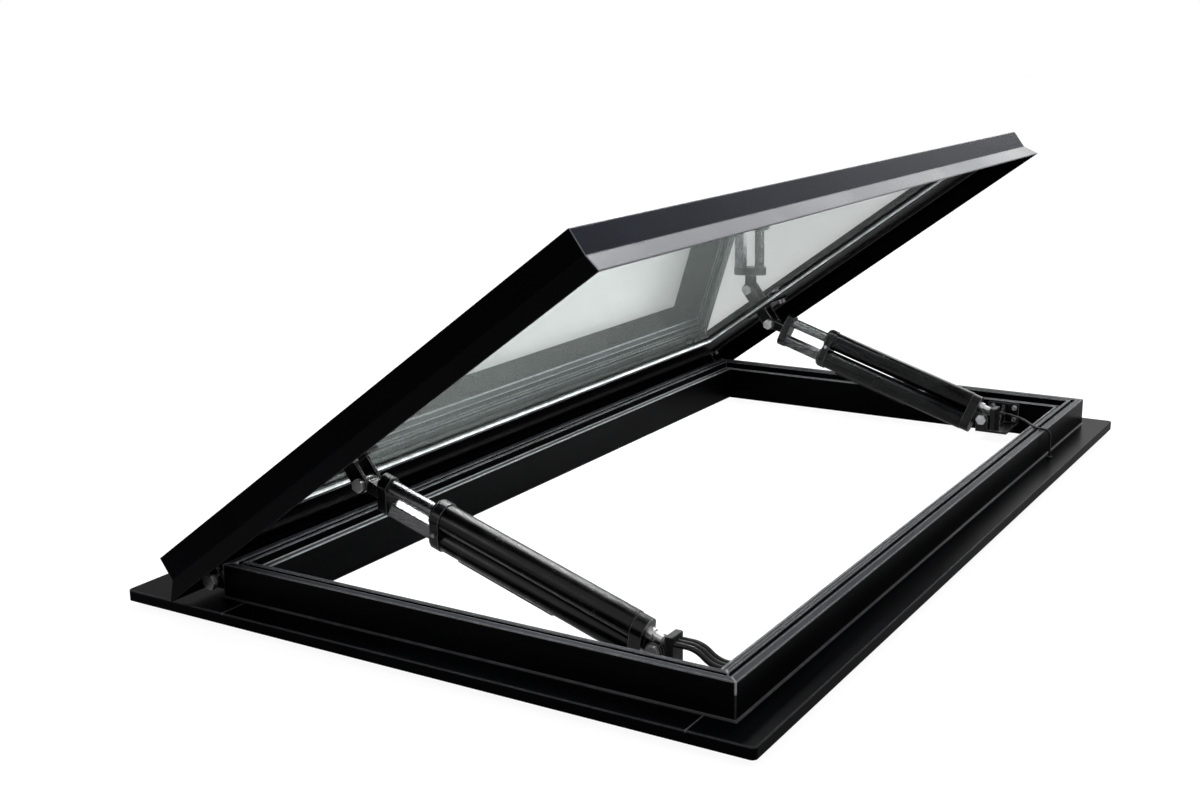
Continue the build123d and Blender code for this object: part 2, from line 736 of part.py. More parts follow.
with BuildPart() as lid_studs:
    for outward in (-1, 1):
        near_face = local(lid_frame, Plane.XZ.offset(-outward * drive_line + lid_cheek_out))
        far_face = local(lid_frame, Plane.XZ.offset(-outward * drive_line - lid_cheek_out))
        with BuildSketch(near_face):
            with Locations((drive_lid_reach, 0)):
                RegularPolygon(drive_pin_head / 2, 6, major_radius=False)
        extrude(amount=pin_head_height)
        with BuildSketch(near_face):
            with Locations((drive_lid_reach, 0)):
                Circle(drive_pin / 2)
        extrude(amount=-clevis_cheek)
        with BuildSketch(far_face):
            with Locations((drive_lid_reach, 0)):
                Circle(drive_pin / 2)
        extrude(amount=clevis_cheek)
        with BuildSketch(far_face):
            with Locations((drive_lid_reach, 0)):
                Circle(ring_round)
        extrude(amount=-ring_thickness)
lid_studs.part.label = "lid_pivot_studs"
export_step(lid_studs.part, "parts/lid_pivot_studs.step")

# Junction boxes on the shelves, behind the base pins
box_back = drive_base_x + box_setback
box_front = box_back + box_length
box_seat = shelf_level + bracket_plate
for side, outward in (("left", -1), ("right", 1)):
    with BuildPart() as box:
        with BuildSketch(Plane.XY.offset(box_seat)):
            with Locations(((box_back + box_front) / 2, outward * drive_line)):
                RectangleRounded(box_length, box_depth, box_round)
        extrude(amount=box_height)
        chamfer(box.faces().sort_by(Axis.Z)[-1].edges(), edge_round)
    box.part.label = f"junction_box_{side}"
    export_step(box.part, f"parts/junction_box_{side}.step")

# Cables of the left drive: three side by side from the box to a bush on the front wall
cable_level = box_seat + box_height - cable_inset
bush_face = inner_front - bush_depth
bush_level = cable_level - cable_drop
with BuildPart() as bush:
    with BuildSketch(Plane.YZ.offset(bush_face)):
        with Locations((-drive_line, bush_level)):
            RectangleRounded(box_depth, bush_height, box_round)
    extrude(amount=bush_depth)
bush.part.label = "cable_bush_left"
export_step(bush.part, "parts/cable_bush_left.step")


def cable(points, diameter, label):
    """A round cable along straight runs that arcs join, each arc tangent to both its runs."""
    radii = []
    for before, corner, after in zip(points, points[1:], points[2:]):
        run_in = corner - before
        run_out = after - corner
        half_turn = radians(run_in.get_angle(run_out)) / 2
        radii.append(cable_arc_share * min(run_in.length, run_out.length) / tan(half_turn))
    print(label, "radii", [round(radius, 1) for radius in radii])
    with BuildPart() as strand:
        with BuildLine() as route:
            FilletPolyline(*points, radius=radii)
        with BuildSketch(Plane(origin=route.wire() @ 0, z_dir=route.wire() % 0)):
            Circle(diameter / 2)
        sweep(path=route.wire())
    section = pi * diameter ** 2 / 4
    print(label, "length", round(route.wire().length, 1),
          "volume ratio", round(strand.part.volume / (section * route.wire().length), 4))
    strand.part.label = label
    export_step(strand.part, f"parts/{label}.step")


for number in (1, 2, 3):
    cable_y = -drive_line + (2 - number) * cable_pitch
    cable(
        [
            Vector(box_front, cable_y, cable_level),
            Vector(box_front + cable_straight, cable_y, cable_level),
            Vector(bush_face - cable_straight, cable_y, bush_level),
            Vector(bush_face, cable_y, bush_level),
        ],
        cable_diameter,
        f"drive_cable_left_{number}",
    )

# Thin cable of the right drive: from the box over the front rim and down to a grommet
over_run = thin_cable_bend / cable_arc_share
over_level = curb_top + thin_cable_gap + thin_cable_diameter / 2
drop_x = curb_front - edge_round + thin_cable_bend
grommet_top = flange_top + grommet_height
climb_start = Vector(box_front + thin_cable_straight, drive_line, cable_level)
climb = Vector(drop_x - over_run, thin_cable_y, over_level) - climb_start


def on_climb(along_x, along_y, along_z):
    """A point between the start and the end of the thin cable's climb, by shares along X, Y and Z."""
    return climb_start + Vector(climb.X * along_x, climb.Y * along_y, climb.Z * along_z)


cable(
    [
        Vector(box_front, drive_line, cable_level),
        on_climb(0, 0, 0),
        on_climb(0.22, 0.17, 0.18),
        on_climb(0.44, 0.41, 0.54),
        on_climb(0.66, 0.68, 0.90),
        on_climb(0.85, 0.88, 1),
        on_climb(1, 1, 1),
        Vector(drop_x, thin_cable_y, over_level),
        Vector(drop_x, thin_cable_y, grommet_top),
    ],
    thin_cable_diameter,
    "drive_cable_right",
)

with BuildPart() as grommet:
    with BuildSketch(Plane.XY.offset(flange_top)):
        with Locations((drop_x, thin_cable_y)):
            Circle(grommet_round)
    extrude(amount=grommet_height)
    chamfer(grommet.edges().group_by(Axis.Z)[-1], edge_round)
grommet.part.label = "cable_grommet_right"
export_step(grommet.part, "parts/cable_grommet_right.step")
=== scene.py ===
"""Looks of the opening roof skylight: finishes, small details, camera, floor and light."""

import json
from math import cos, pi, radians, sin, tau

import bmesh
import bpy
from mathutils import Matrix, Vector


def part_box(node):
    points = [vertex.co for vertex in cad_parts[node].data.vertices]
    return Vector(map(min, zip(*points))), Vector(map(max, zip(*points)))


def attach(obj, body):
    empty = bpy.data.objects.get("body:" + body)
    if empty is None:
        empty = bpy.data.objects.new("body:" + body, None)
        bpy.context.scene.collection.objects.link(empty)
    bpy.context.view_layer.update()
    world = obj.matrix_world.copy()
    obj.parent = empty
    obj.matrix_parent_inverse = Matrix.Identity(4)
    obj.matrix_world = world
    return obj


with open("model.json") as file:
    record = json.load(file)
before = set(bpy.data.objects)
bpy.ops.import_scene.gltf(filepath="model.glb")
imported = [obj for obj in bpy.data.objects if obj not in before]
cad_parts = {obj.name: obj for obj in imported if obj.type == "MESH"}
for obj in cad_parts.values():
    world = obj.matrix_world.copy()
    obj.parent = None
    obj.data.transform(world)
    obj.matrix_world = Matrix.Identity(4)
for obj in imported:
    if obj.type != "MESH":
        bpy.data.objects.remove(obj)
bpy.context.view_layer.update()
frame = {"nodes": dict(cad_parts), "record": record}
scene = bpy.context.scene
node_objects = frame["nodes"]

# Camera, from the photograph's viewing angle
VIEW_TARGET = Vector((-0.496, 0.484, 0.026))
VIEW_AZIMUTH = radians(-58.73)
VIEW_ELEVATION = radians(13.77)
VIEW_ROLL = radians(-0.58)
VIEW_DISTANCE = 3.301
VIEW_LENS = 45.95
SENSOR_WIDTH = 36.0
CLIP_END = 100.0

# Floor and background
FLOOR_HALF = 20.0
FLOOR_LEVEL = -0.0005
FLOOR_GREY = 0.20
FLOOR_ROUGHNESS = 0.9
FLOOR_GLOW = 0.92
FLOOR_MIRRORED = 0.28
WORLD_LIGHT = 0.4
WORLD_MIRRORED = 0.62

# Share of the lamps' light that comes through a pane
GLASS_LETS_THROUGH = 0.95

# Places on the solids that the small pieces stand on, in metres
HINGE = (-0.378, 0.046)
LID_ANGLE = radians(36.3)
LID_PIN_RUN = 0.248
RIM_SEAT = 0.038
BRACKET_PLATE = 0.005
HINGE_PLATE = 0.005
EAR_START = 0.001
EAR_LENGTH = 0.020
EAR_FOOT = 0.004
DRIVE_TILT = radians(17.818)
BARREL_SIDE_STEP = 0.014
BARREL_UP_STEP = 0.037
CLAMP_ROUND = 0.021

# Screws: the head's radius and height, the socket over its flats, the washer's radius
PLATE_SCREW = (0.0044, 0.0046, 0.0040, 0.0056)
CLAMP_SCREW = (0.0034, 0.0034, 0.0030)
HEAD_CHAMFER = 0.0005
SOCKET_DEPTH = 0.0026
SOCKET_BEVEL_WIDTH = 0.0006
SOCKET_BEVEL_DEPTH = 0.0004
WASHER_THICKNESS = 0.0012
WASHER_CHAMFER = 0.0003

# Distances of the screws from the edges of the brackets' plates
BASE_SCREW_SIDE = 0.009
BASE_SCREW_FOOT = 0.0125
BASE_SCREW_TOP = 0.0085
HINGE_SCREW_EDGE = 0.009
HINGE_SCREW_OUTER = 0.017

# Places of the lid's screws: along the lid from the drive's pin, and out from the middle
LID_SCREW_RUN = 0.027
LID_SCREW_ROWS = (0.698, 0.7155)
EAR_SCREW_ROWS = (0.795, 0.822)

# Sealant bead: its leg, its middle from wall and flange, the share of both at points between
BEAD_LEG = 0.0026
BEAD_MIDDLE = 0.0011
BEAD_BETWEEN = 0.55

# Masks: the inner ledge under the curb's top, the flange's edge under its top, and their fade
LEDGE_DEPTH = 0.0145
FLANGE_EDGE_DEPTH = 0.0005
RIM_FADE = 0.003

# Places of the mix node's colour sockets in its lists
MIX_FACTOR = 0
MIX_LOW = 6
MIX_HIGH = 7
MIX_RESULT = 2


class Shader:
    """A new material with a Principled surface and short calls for its nodes and links."""

    def __init__(self, name):
        self.material = bpy.data.materials.new(name)
        self.material.use_nodes = True
        self.tree = self.material.node_tree
        self.surface = self.tree.nodes["Principled BSDF"]
        self.place = self.node("ShaderNodeTexCoord").outputs["Object"]

    def node(self, kind, **settings):
        """A new node with its settings."""
        made = self.tree.nodes.new(kind)
        for key, value in settings.items():
            setattr(made, key, value)
        return made

    def link(self, source, target):
        """Joins a node's output to another's input."""
        self.tree.links.new(source, target)

    def value(self, socket, number):
        """Gives an input of the surface one value all over."""
        self.surface.inputs[socket].default_value = number

    def vary(self, socket, source):
        """Lets a node's output set an input of the surface."""
        self.link(source, self.surface.inputs[socket])

    def noise(self, scale, detail=3.0, roughness=0.5, stretch=(1, 1, 1)):
        """A noise over the object's own space; stretch widens its grain along an axis."""
        mapping = self.node("ShaderNodeMapping")
        mapping.inputs["Scale"].default_value = [1 / s for s in stretch]
        self.link(self.place, mapping.inputs["Vector"])
        texture = self.node("ShaderNodeTexNoise")
        texture.inputs["Scale"].default_value = scale
        texture.inputs["Detail"].default_value = detail
        texture.inputs["Roughness"].default_value = roughness
        self.link(mapping.outputs["Vector"], texture.inputs["Vector"])
        return texture.outputs["Fac"]

    def spread(self, source, low, high, from_low=0.35, from_high=0.65):
        """Maps a source's range, by default a noise's middle, to the range from low to high."""
        remap = self.node("ShaderNodeMapRange")
        remap.inputs["From Min"].default_value = from_low
        remap.inputs["From Max"].default_value = from_high
        remap.inputs["To Min"].default_value = low
        remap.inputs["To Max"].default_value = high
        self.link(source, remap.inputs["Value"])
        return remap.outputs["Result"]

    def math(self, operation, first, second):
        """The result of an operation on two values, each a number or a node's output."""
        made = self.node("ShaderNodeMath", operation=operation)
        for socket, value in zip(made.inputs, (first, second)):
            if isinstance(value, (int, float)):
                socket.default_value = value
            else:
                self.link(value, socket)
        return made.outputs[0]

    def blend(self, mask, low_colour, high_colour):
        """A colour between two, by the mask."""
        mix = self.node("ShaderNodeMix", data_type="RGBA")
        self.link(mask, mix.inputs[MIX_FACTOR])
        for place, colour in ((MIX_LOW, low_colour), (MIX_HIGH, high_colour)):
            if isinstance(colour, tuple):
                mix.inputs[place].default_value = (*colour, 1)
            else:
                self.link(colour, mix.inputs[place])
        return mix.outputs[MIX_RESULT]

    def above(self, level, band):
        """A mask that is 1 above the level and fades out over the band under it."""
        split = self.node("ShaderNodeSeparateXYZ")
        self.link(self.place, split.inputs[0])
        return self.spread(split.outputs["Z"], 0.0, 1.0, from_low=level - band, from_high=level)

    def upward(self):
        """A mask that is 1 on the faces that look straight up."""
        split = self.node("ShaderNodeSeparateXYZ")
        self.link(self.node("ShaderNodeNewGeometry").outputs["Normal"], split.inputs[0])
        return self.spread(split.outputs["Z"], 0.0, 1.0, from_low=0.9, from_high=0.98)

    def rounded(self, radius):
        """The surface's normal, rounded over its edges."""
        bevel = self.node("ShaderNodeBevel", samples=6)
        bevel.inputs["Radius"].default_value = radius
        return bevel.outputs["Normal"]

    def edges(self, rounded_normal):
        """A mask that is 1 along the edges, where the rounded normal leaves the true one."""
        geometry = self.node("ShaderNodeNewGeometry")
        dot = self.node("ShaderNodeVectorMath", operation="DOT_PRODUCT")
        self.link(rounded_normal, dot.inputs[0])
        self.link(geometry.outputs["Normal"], dot.inputs[1])
        return self.spread(dot.outputs["Value"], 1.0, 0.0, from_low=0.80, from_high=0.99)

    def bump(self, height, strength, distance, normal=None):
        """Raises the surface by a height, over the given normal where there is one."""
        made = self.node("ShaderNodeBump")
        made.inputs["Strength"].default_value = strength
        made.inputs["Distance"].default_value = distance
        self.link(height, made.inputs["Height"])
        if normal is not None:
            self.link(normal, made.inputs["Normal"])
        self.vary("Normal", made.outputs["Normal"])


def times(colour, factor):
    """The colour with each of its three parts multiplied by the factor."""
    return tuple(factor * part for part in colour)


def powder_coat(name, colour, edge_colour, roughness, specular, edge_radius=0.0012,
                rim=None, tint=None):
    """Satin powder coat: fine orange peel, faint smudges in its gloss, and the edge colour along its
    edges in patches, which paints highlights and, where that colour is dark, also wear.
    rim gives a level above which upward faces get painted top light and edges a painted highlight,
    and these two colours."""
    shader = Shader(name)
    normal = shader.rounded(edge_radius)
    # Edges painted in the edge colour, in patches: a painted highlight, partly wear where that colour
    # is dark
    patches = shader.spread(shader.noise(scale=60.0), 0.75, 1.0)
    edge_highlight_and_wear = shader.math("MULTIPLY", shader.edges(normal), patches)
    smudge = shader.noise(scale=5.0)
    base = shader.blend(shader.spread(smudge, 0.0, 1.0), colour, times(colour, 1.5))
    if rim:
        level, top_light_colour, rim_highlight = rim
        # Above the level: painted top light on the upward faces, and a painted highlight on the edges
        high = shader.above(level, RIM_FADE)
        painted_top_light = shader.math("MULTIPLY", high, shader.upward())
        if top_light_colour:
            base = shader.blend(painted_top_light, base, top_light_colour)
        edge_colour = shader.blend(high, edge_colour, rim_highlight)
    shader.vary("Base Color", shader.blend(edge_highlight_and_wear, base, edge_colour))
    smudged = shader.spread(smudge, roughness - 0.02, roughness + 0.03)
    polished = shader.math("MULTIPLY", edge_highlight_and_wear, -0.08)
    shader.vary("Roughness", shader.math("ADD", smudged, polished))
    shader.value("Specular IOR Level", specular)
    if tint:
        shader.value("Specular Tint", (*tint, 1))
    peel = shader.noise(scale=1400.0, detail=2.0)
    shader.bump(peel, strength=0.05, distance=0.0002, normal=normal)
    return shader.material


def lacquer(name, colour, edge_colour, roughness, specular):
    """Glossy lacquer on drawn tube: faint draw lines along it and a few dull spots."""
    shader = Shader(name)
    normal = shader.rounded(0.001)
    streak = shader.noise(scale=160.0, roughness=0.6, stretch=(30, 1, 1))
    base = shader.blend(shader.spread(streak, 0.0, 1.0), colour, times(colour, 1.6))
    # Edges in the edge colour: a painted highlight, partly wear
    shader.vary("Base Color", shader.blend(shader.edges(normal), base, edge_colour))
    spots = shader.noise(scale=25.0, detail=4.0)
    shader.vary("Roughness", shader.spread(spots, roughness - 0.04, roughness + 0.08))
    shader.value("Specular IOR Level", specular)
    shader.bump(streak, strength=0.04, distance=0.0003, normal=normal)
    return shader.material


def bright_metal(name, colour, roughness, stretch=(1, 1, 1)):
    """Bare or plated steel: fine grain in its gloss, darker in patches."""
    shader = Shader(name)
    grain = shader.noise(scale=700.0, roughness=0.6, stretch=stretch)
    stain = shader.spread(shader.noise(scale=60.0, detail=4.0, roughness=0.6), 0.0, 1.0)
    shader.vary("Base Color", shader.blend(stain, colour, times(colour, 0.7)))
    shader.value("Metallic", 1.0)
    shader.vary("Roughness", shader.spread(grain, roughness - 0.05, roughness + 0.1))
    shader.bump(grain, strength=0.08, distance=0.0002, normal=shader.rounded(0.0006))
    return shader.material


def rubber(name, colour, roughness=0.6):
    """Dull rubber or plastic with a fine grain and a little dust."""
    shader = Shader(name)
    grain = shader.noise(scale=900.0)
    specks = shader.noise(scale=40.0, detail=4.0, roughness=0.6)
    dust = shader.spread(specks, 0.0, 1.0, from_low=0.45, from_high=0.8)
    dusty = tuple(2.2 * part + 0.004 for part in colour)
    shader.vary("Base Color", shader.blend(dust, colour, dusty))
    shader.vary("Roughness", shader.spread(grain, roughness - 0.08, roughness + 0.08))
    shader.value("Specular IOR Level", 0.25)
    shader.bump(grain, strength=0.15, distance=0.0003)
    return shader.material


def float_glass(name, tint):
    """Clear float glass with a slight green tint and a faint film of haze."""
    shader = Shader(name)
    haze = shader.noise(scale=2.2, stretch=(1, 2, 1))
    shader.vary("Base Color", shader.blend(shader.spread(haze, 0.0, 1.0), tint, times(tint, 0.94)))
    shader.vary("Roughness", shader.spread(haze, 0.0, 0.01))
    shader.value("Transmission Weight", 1.0)
    shader.value("IOR", 1.5)
    shadow = shader.node("ShaderNodeLightPath").outputs["Is Shadow Ray"]
    let_through = shader.math("MULTIPLY", shadow, GLASS_LETS_THROUGH)
    shader.vary("Alpha", shader.math("SUBTRACT", 1.0, let_through))
    return shader.material


def dress(object_, material):
    """Gives every slot of a piece the one material."""
    if not object_.material_slots:
        object_.data.materials.append(material)
    for slot in object_.material_slots:
        slot.material = material


# Colours that more than one finish uses, or that paint top light and highlights on a rim
BLACK = (0.0008, 0.0010, 0.0014)
# Edge colour of the black coats: a painted highlight along the edges, partly wear
EDGE_WEAR_AND_HIGHLIGHT = (0.05, 0.052, 0.060)
DARK_RUBBER = (0.006, 0.006, 0.006)
# Painted top light on the upward faces of the curb's rim
RIM_PAINTED_TOP_LIGHT = (0.043, 0.045, 0.052)
# Painted highlights along the edges of the curb's rim and of the flange's top
RIM_PAINTED_HIGHLIGHT = (0.88, 0.89, 0.92)
FLANGE_PAINTED_HIGHLIGHT = (0.20, 0.205, 0.22)

# Finishes
# The curb's rim gets painted top light on its upward faces and painted highlights on its edges; the
# flange's top edge gets a painted highlight
CURB_RIM = (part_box("curb_left")[1][2] - LEDGE_DEPTH, RIM_PAINTED_TOP_LIGHT, RIM_PAINTED_HIGHLIGHT)
FLANGE_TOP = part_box("flange_left")[1][2]
FLANGE_RIM = (FLANGE_TOP - FLANGE_EDGE_DEPTH, None, FLANGE_PAINTED_HIGHLIGHT)
# In each coat the second colour is painted along the edges: the pale ones are painted highlights, the
# dark ones partly wear and partly painted highlight
FRAME_COAT = powder_coat("frame_coat", BLACK, EDGE_WEAR_AND_HIGHLIGHT,
                         roughness=0.30, specular=0.025, edge_radius=0.002)
CURB_COAT = powder_coat("curb_coat", BLACK, (0.06, 0.062, 0.07),
                        roughness=0.30, specular=0.025, edge_radius=0.0035, rim=CURB_RIM)
FLANGE_COAT = powder_coat("flange_coat", BLACK, BLACK,
                          roughness=0.30, specular=0.015, edge_radius=0.003, rim=FLANGE_RIM)
# A darker, duller copy of the fascia paint for the side and rear fascias: painted shade
SHADED_FASCIA_COAT = powder_coat("shaded_fascia_coat", BLACK, EDGE_WEAR_AND_HIGHLIGHT,
                        roughness=0.30, specular=0.012, edge_radius=0.002)
# The front fascia's paint; its pale edge colour is a painted highlight along the top edge, the crease
# and the lip
FASCIA_COAT = powder_coat("fascia_coat", (0.0010, 0.0025, 0.009), (0.55, 0.56, 0.60),
                          roughness=0.27, specular=0.08, edge_radius=0.003, tint=(0.55, 0.7, 1.0))
# The lid frame's pale edge colour is a painted highlight
LID_COAT = powder_coat("lid_coat", (0.0010, 0.0012, 0.0016), (0.34, 0.35, 0.37),
                       roughness=0.28, specular=0.06, edge_radius=0.0025)
# The brackets' pale edge colour is a painted highlight
BRACKET_COAT = powder_coat("bracket_coat", (0.003, 0.003, 0.0034), (0.40, 0.40, 0.42),
                           roughness=0.24, specular=0.3, edge_radius=0.0014)
SPACER = powder_coat("spacer_bar", (0.02, 0.02, 0.02), (0.08, 0.08, 0.08),
                     roughness=0.5, specular=0.3)
BARREL = lacquer("barrel_lacquer", (0.0010, 0.0011, 0.0016), (0.05, 0.05, 0.055),
                 roughness=0.22, specular=0.26)
ROD_STEEL = bright_metal("rod_steel", (0.22, 0.222, 0.23), roughness=0.24, stretch=(20, 1, 1))
BOLT_STEEL = bright_metal("bolt_steel", (0.80, 0.80, 0.81), roughness=0.38)
SCREW_STEEL = bright_metal("screw_steel", (0.50, 0.50, 0.52), roughness=0.26)
RUBBER = rubber("rubber_seal", DARK_RUBBER)
CABLE = rubber("cable_jacket", DARK_RUBBER, roughness=0.42)
BOX_PLASTIC = rubber("box_plastic", (0.008, 0.008, 0.009), roughness=0.45)
SEALANT = rubber("sealant", (0.03, 0.03, 0.033), roughness=0.32)
PALE_GASKET = rubber("pale_gasket", (0.55, 0.56, 0.56), roughness=0.45)
GLASS = float_glass("glazing", (0.72, 0.765, 0.75))

# The finish of each material slot, then the nodes that have one of their own
FINISHES = {
    "frame_coat": FRAME_COAT,
    "fascia_coat": FASCIA_COAT,
    "bead_coat": FRAME_COAT,
    "spacer_bar": SPACER,
    "glazing": GLASS,
    "rubber_seal": RUBBER,
    "bracket_coat": BRACKET_COAT,
    "barrel_lacquer": BARREL,
    "rod_steel": ROD_STEEL,
    "bolt_steel": BOLT_STEEL,
    "box_plastic": BOX_PLASTIC,
    "cable_jacket": CABLE,
}
for part in frame["record"]["subparts"]:
    dress(node_objects[part["node"]], FINISHES[part["material_slot"]])
for side in ("front", "rear", "left", "right"):
    dress(node_objects["curb_" + side], CURB_COAT)
    dress(node_objects["flange_" + side], FLANGE_COAT)
    dress(node_objects["lid_frame_" + side], LID_COAT)
# The side and rear fascias take the shaded copy of the fascia paint, as painted shade
for side in ("rear", "left", "right"):
    dress(node_objects["lid_fascia_" + side], SHADED_FASCIA_COAT)
dress(node_objects["glazing_gasket"], PALE_GASKET)


def as_mesh(name, form):
    """A mesh made from the form, which is freed."""
    made = bpy.data.meshes.new(name)
    form.to_mesh(made)
    form.free()
    return made


def as_piece(name, mesh, material):
    """A piece of the scene with this mesh and material."""
    piece = bpy.data.objects.new(name, mesh)
    scene.collection.objects.link(piece)
    mesh.materials.append(material)
    return piece


def hexagon(angle, across):
    """Distance from a hexagon's middle to its side at this angle; across is over its flats."""
    return across / 2 / cos((angle + pi / 6) % (pi / 3) - pi / 6)


def turned(name, rings, steps=24):
    """A closed turned form along +Z. A ring is a height, a radius and whether it is a hexagon."""
    mesh = bmesh.new()
    loops = []
    for height, radius, hexagonal in rings:
        loop = []
        for step in range(steps):
            angle = tau * step / steps
            reach = hexagon(angle, 2 * radius) if hexagonal else radius
            loop.append(mesh.verts.new((reach * cos(angle), reach * sin(angle), height)))
        loops.append(loop)
    for low, high in zip(loops, loops[1:]):
        for step in range(steps):
            after = (step + 1) % steps
            mesh.faces.new((low[step], low[after], high[after], high[step]))
    mesh.faces.new(loops[0][::-1])
    mesh.faces.new(loops[-1])
    return as_mesh(name, mesh)


def cap_screw(head_round, head_height, socket, washer=0.0):
    """A socket-head cap screw's head with a chamfer, on a washer where one is given."""
    foot = WASHER_THICKNESS if washer else 0.0
    top = foot + head_height
    rings = []
    if washer:
        rings += [
            (0, washer, False),
            (foot - WASHER_CHAMFER, washer, False),
            (foot, washer - WASHER_CHAMFER, False),
        ]
    rings += [
        (foot, head_round, False),
        (top - HEAD_CHAMFER, head_round, False),
        (top, head_round - HEAD_CHAMFER, False),
        (top, socket / 2 + SOCKET_BEVEL_WIDTH, True),
        (top - SOCKET_BEVEL_DEPTH, socket / 2, True),
        (top - SOCKET_DEPTH, socket / 2, True),
    ]
    return turned("cap_screw", rings)


def set_on(name, mesh, seats, body, material):
    """One piece with the same form on every seat; a seat is a point and the direction it faces."""
    joined = bmesh.new()
    for point, facing in seats:
        before = len(joined.verts)
        joined.from_mesh(mesh)
        joined.verts.ensure_lookup_table()
        turn = Vector(facing).to_track_quat("Z", "Y").to_matrix().to_4x4()
        place = Matrix.Translation(point) @ turn
        bmesh.ops.transform(joined, matrix=place, verts=joined.verts[before:])
    piece = as_piece(name, as_mesh(name, joined), material)
    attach(piece, body)


def on_lid(u, y, v):
    """A point of the open lid: u along it from the hinge, v square to it."""
    return Vector((
        HINGE[0] + u * cos(LID_ANGLE) - v * sin(LID_ANGLE),
        y,
        HINGE[1] + u * sin(LID_ANGLE) + v * cos(LID_ANGLE),
    ))


def foot_bead():
    """The sealant bead in the corner between the curb's walls and the flange, all round."""
    rear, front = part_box("curb_rear")[0][0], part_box("curb_front")[1][0]
    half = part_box("curb_right")[1][1]
    near, far = BEAD_MIDDLE * BEAD_BETWEEN, BEAD_LEG * BEAD_BETWEEN
    section = ((0, BEAD_LEG), (near, far), (BEAD_MIDDLE, BEAD_MIDDLE), (far, near), (BEAD_LEG, 0))
    form = bmesh.new()
    loops = []
    for x, y in ((rear, -half), (front, -half), (front, half), (rear, half)):
        outward_x = 1 if x > 0 else -1
        outward_y = 1 if y > 0 else -1
        loops.append([
            form.verts.new((x + outward_x * out, y + outward_y * out, FLANGE_TOP + up))
            for out, up in section
        ])
    for index, here in enumerate(loops):
        there = loops[(index + 1) % len(loops)]
        for low in range(len(section) - 1):
            form.faces.new((here[low], here[low + 1], there[low + 1], there[low]))
    mesh = as_mesh("foot_bead", form)
    mesh.polygons.foreach_set("use_smooth", [True] * len(mesh.polygons))
    piece = as_piece("foot_bead", mesh, SEALANT)
    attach(piece, "frame")


def fasteners():
    """Screw heads on the brackets, as the real plates are held."""
    sides = (-1, 1)
    screw = cap_screw(*PLATE_SCREW)
    plate_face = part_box("curb_right")[0][1] - BRACKET_PLATE
    low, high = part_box("base_bracket_right")
    plates = [
        (Vector((x, side * plate_face, z)), (0, -side, 0))
        for side in sides
        for x in (low[0] + BASE_SCREW_SIDE, high[0] - BASE_SCREW_SIDE)
        for z in (low[2] + BASE_SCREW_FOOT, high[2] - BASE_SCREW_TOP)
    ]
    low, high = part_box("hinge_bracket_right")
    plates += [
        (Vector((high[0] - HINGE_PLATE, side * y, z)), (-1, 0, 0))
        for side in sides
        for y in (low[1] + HINGE_SCREW_EDGE, high[1] - HINGE_SCREW_OUTER)
        for z in (low[2] + HINGE_SCREW_EDGE, high[2] - HINGE_SCREW_EDGE)
    ]
    set_on("plate_screws", screw, plates, "frame", SCREW_STEEL)

    down = on_lid(0, 0, -1) - on_lid(0, 0, 0)
    feet = [
        (on_lid(LID_PIN_RUN + run, side * y, RIM_SEAT - BRACKET_PLATE), down)
        for side in sides
        for run in (-LID_SCREW_RUN, LID_SCREW_RUN)
        for y in LID_SCREW_ROWS
    ]
    feet += [
        (on_lid(EAR_START + EAR_LENGTH / 2, side * y, RIM_SEAT - EAR_FOOT), down)
        for side in sides
        for y in EAR_SCREW_ROWS
    ]
    set_on("lid_screws", screw, feet, "lid", SCREW_STEEL)

    small = cap_screw(*CLAMP_SCREW)
    for name, lean in (("left", -1), ("right", 1)):
        low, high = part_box("barrel_clamp_" + name)
        middle = (low + high) / 2
        across = Vector((0, -BARREL_UP_STEP, lean * BARREL_SIDE_STEP)).normalized()
        rise = Vector((sin(DRIVE_TILT), 0, cos(DRIVE_TILT)))
        facing = Vector((0, across.y, 0)) + rise * across.z
        seats = [(middle + facing * CLAMP_ROUND, facing), (middle - facing * CLAMP_ROUND, -facing)]
        set_on("clamp_screw_" + name, small, seats, "drive_" + name, SCREW_STEEL)


def make_camera():
    """The photograph's camera: a look-at from azimuth and elevation, rolled about its axis."""
    data = bpy.data.cameras.new("camera")
    data.lens = VIEW_LENS
    data.sensor_width = SENSOR_WIDTH
    data.clip_end = CLIP_END
    camera = bpy.data.objects.new("camera", data)
    scene.collection.objects.link(camera)
    away = Vector((
        cos(VIEW_ELEVATION) * cos(VIEW_AZIMUTH),
        cos(VIEW_ELEVATION) * sin(VIEW_AZIMUTH),
        sin(VIEW_ELEVATION),
    ))
    forward = -away
    right = forward.cross(Vector((0, 0, 1))).normalized()
    up = right.cross(forward)
    right, up = (
        right * cos(VIEW_ROLL) + up * sin(VIEW_ROLL),
        up * cos(VIEW_ROLL) - right * sin(VIEW_ROLL),
    )
    turn = Matrix((right, up, away)).transposed().to_4x4()
    camera.matrix_world = Matrix.Translation(VIEW_TARGET + away * VIEW_DISTANCE) @ turn
    scene.camera = camera


def area_lamp(name, place, aim, size, power, mirrored=True):
    """A rectangular lamp. One that is not mirrored lights the part and its gloss, but leaves no
    bright rectangle in the panes and no speckle in what it lights through them."""
    data = bpy.data.lights.new(name, "AREA")
    data.shape = "RECTANGLE"
    data.size, data.size_y = size
    data.energy = power
    data.cycles.use_multiple_importance_sampling = mirrored
    lamp = bpy.data.objects.new(name, data)
    lamp.location = place
    lamp.rotation_euler = (Vector(aim) - Vector(place)).to_track_quat("-Z", "Y").to_euler()
    scene.collection.objects.link(lamp)


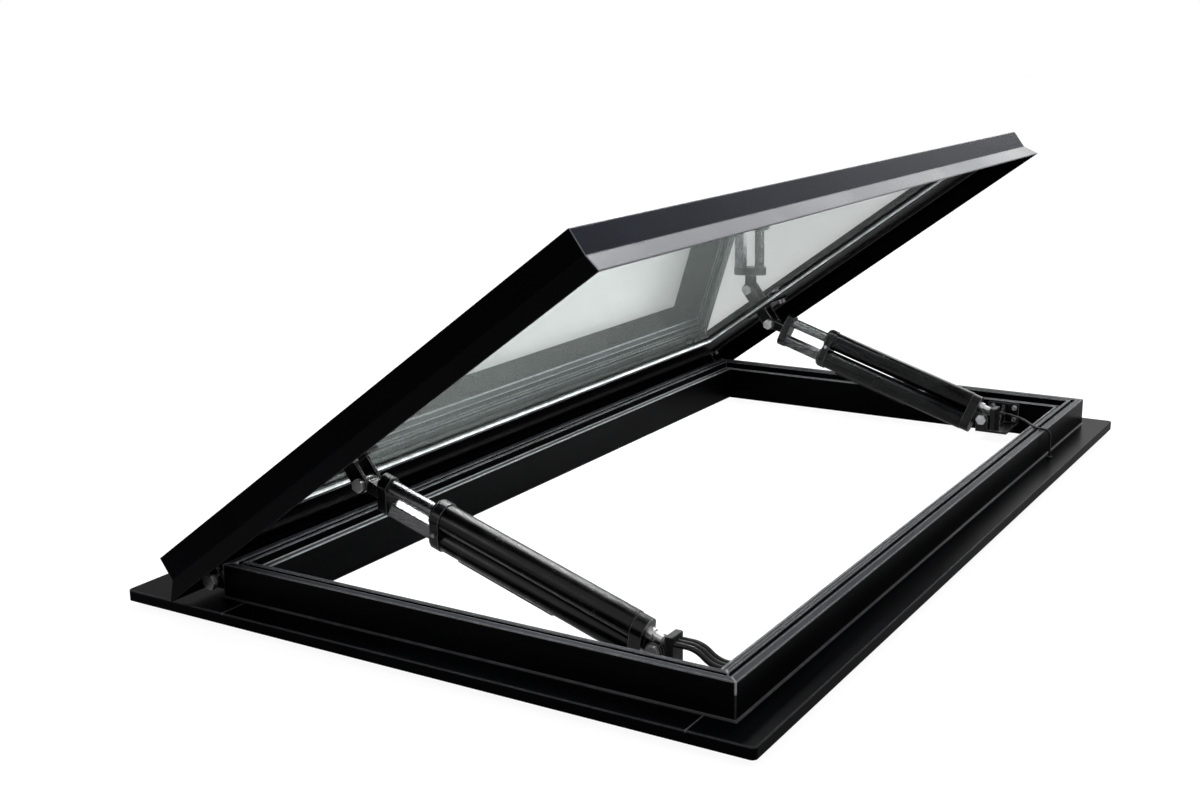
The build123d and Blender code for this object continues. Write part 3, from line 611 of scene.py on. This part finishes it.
def seen_directly(tree, mirrored):
    """1 where a camera or transmission ray looks, mirrored where a glossy one does, 0 elsewhere."""
    path = tree.nodes.new("ShaderNodeLightPath")
    seen = path.outputs["Is Camera Ray"]
    for kind, share in (("Is Glossy Ray", mirrored), ("Is Transmission Ray", 1.0)):
        scale = tree.nodes.new("ShaderNodeMath")
        scale.operation = "MULTIPLY"
        scale.inputs[1].default_value = share
        tree.links.new(path.outputs[kind], scale.inputs[0])
        most = tree.nodes.new("ShaderNodeMath")
        most.operation = "MAXIMUM"
        tree.links.new(seen, most.inputs[0])
        tree.links.new(scale.outputs[0], most.inputs[1])
        seen = most.outputs[0]
    return seen


def scaled(tree, source, low, high):
    """The source's range from 0 to 1 mapped to the range from low to high."""
    remap = tree.nodes.new("ShaderNodeMapRange")
    remap.inputs["To Min"].default_value = low
    remap.inputs["To Max"].default_value = high
    tree.links.new(source, remap.inputs["Value"])
    return remap.outputs["Result"]


def make_stage():
    """A plain pale floor that keeps a soft shadow, and a white background."""
    mesh = bpy.data.meshes.new("floor")
    half, level = FLOOR_HALF, FLOOR_LEVEL
    corners = [(x, y, level) for x, y in ((-half, -half), (half, -half), (half, half), (-half, half))]
    mesh.from_pydata(corners, [], [(0, 1, 2, 3)])
    floor = bpy.data.objects.new("floor", mesh)
    scene.collection.objects.link(floor)
    shader = Shader("floor")
    shader.value("Base Color", (FLOOR_GREY, FLOOR_GREY, FLOOR_GREY, 1))
    shader.value("Roughness", FLOOR_ROUGHNESS)
    shader.value("Specular IOR Level", 0.0)
    shader.value("Emission Color", (1, 1, 1, 1))
    glow = scaled(shader.tree, seen_directly(shader.tree, FLOOR_MIRRORED), 0.0, FLOOR_GLOW)
    shader.vary("Emission Strength", glow)
    mesh.materials.append(shader.material)

    world = bpy.data.worlds.new("studio")
    world.use_nodes = True
    scene.world = world
    tree = world.node_tree
    background = tree.nodes["Background"]
    background.inputs["Color"].default_value = (1, 1, 1, 1)
    strength = scaled(tree, seen_directly(tree, WORLD_MIRRORED), WORLD_LIGHT, 1.0)
    tree.links.new(strength, background.inputs["Strength"])


fasteners()
foot_bead()
make_camera()
make_stage()
area_lamp("back_high", (-0.45, 4.2, 3.2), aim=(0.3, -0.4, 0.5), size=(1.1, 1.5), power=24)
area_lamp("back_low", (-0.1, 4.2, 1.75), aim=(0.3, 0.4, 0.5), size=(1.1, 1.3), power=14)
area_lamp("arch", (-0.5, 1.2, 2.6), aim=(0.1, -0.5, 0.15), size=(0.9, 2.4), power=85, mirrored=False)
area_lamp("top", (-0.6, 0.6, 3.4), aim=(0, 0, 0.2), size=(2.4, 1.2), power=12, mirrored=False)
area_lamp("fill", (3.0, -1.0, 2.4), aim=(0, 0, 0.2), size=(1.6, 1.6), power=20)
area_lamp("side", (-1.6, -3.2, 1.2), aim=(-0.2, -0.7, 0.1), size=(0.7, 0.7), power=14)
scene.view_settings.view_transform = "Standard"
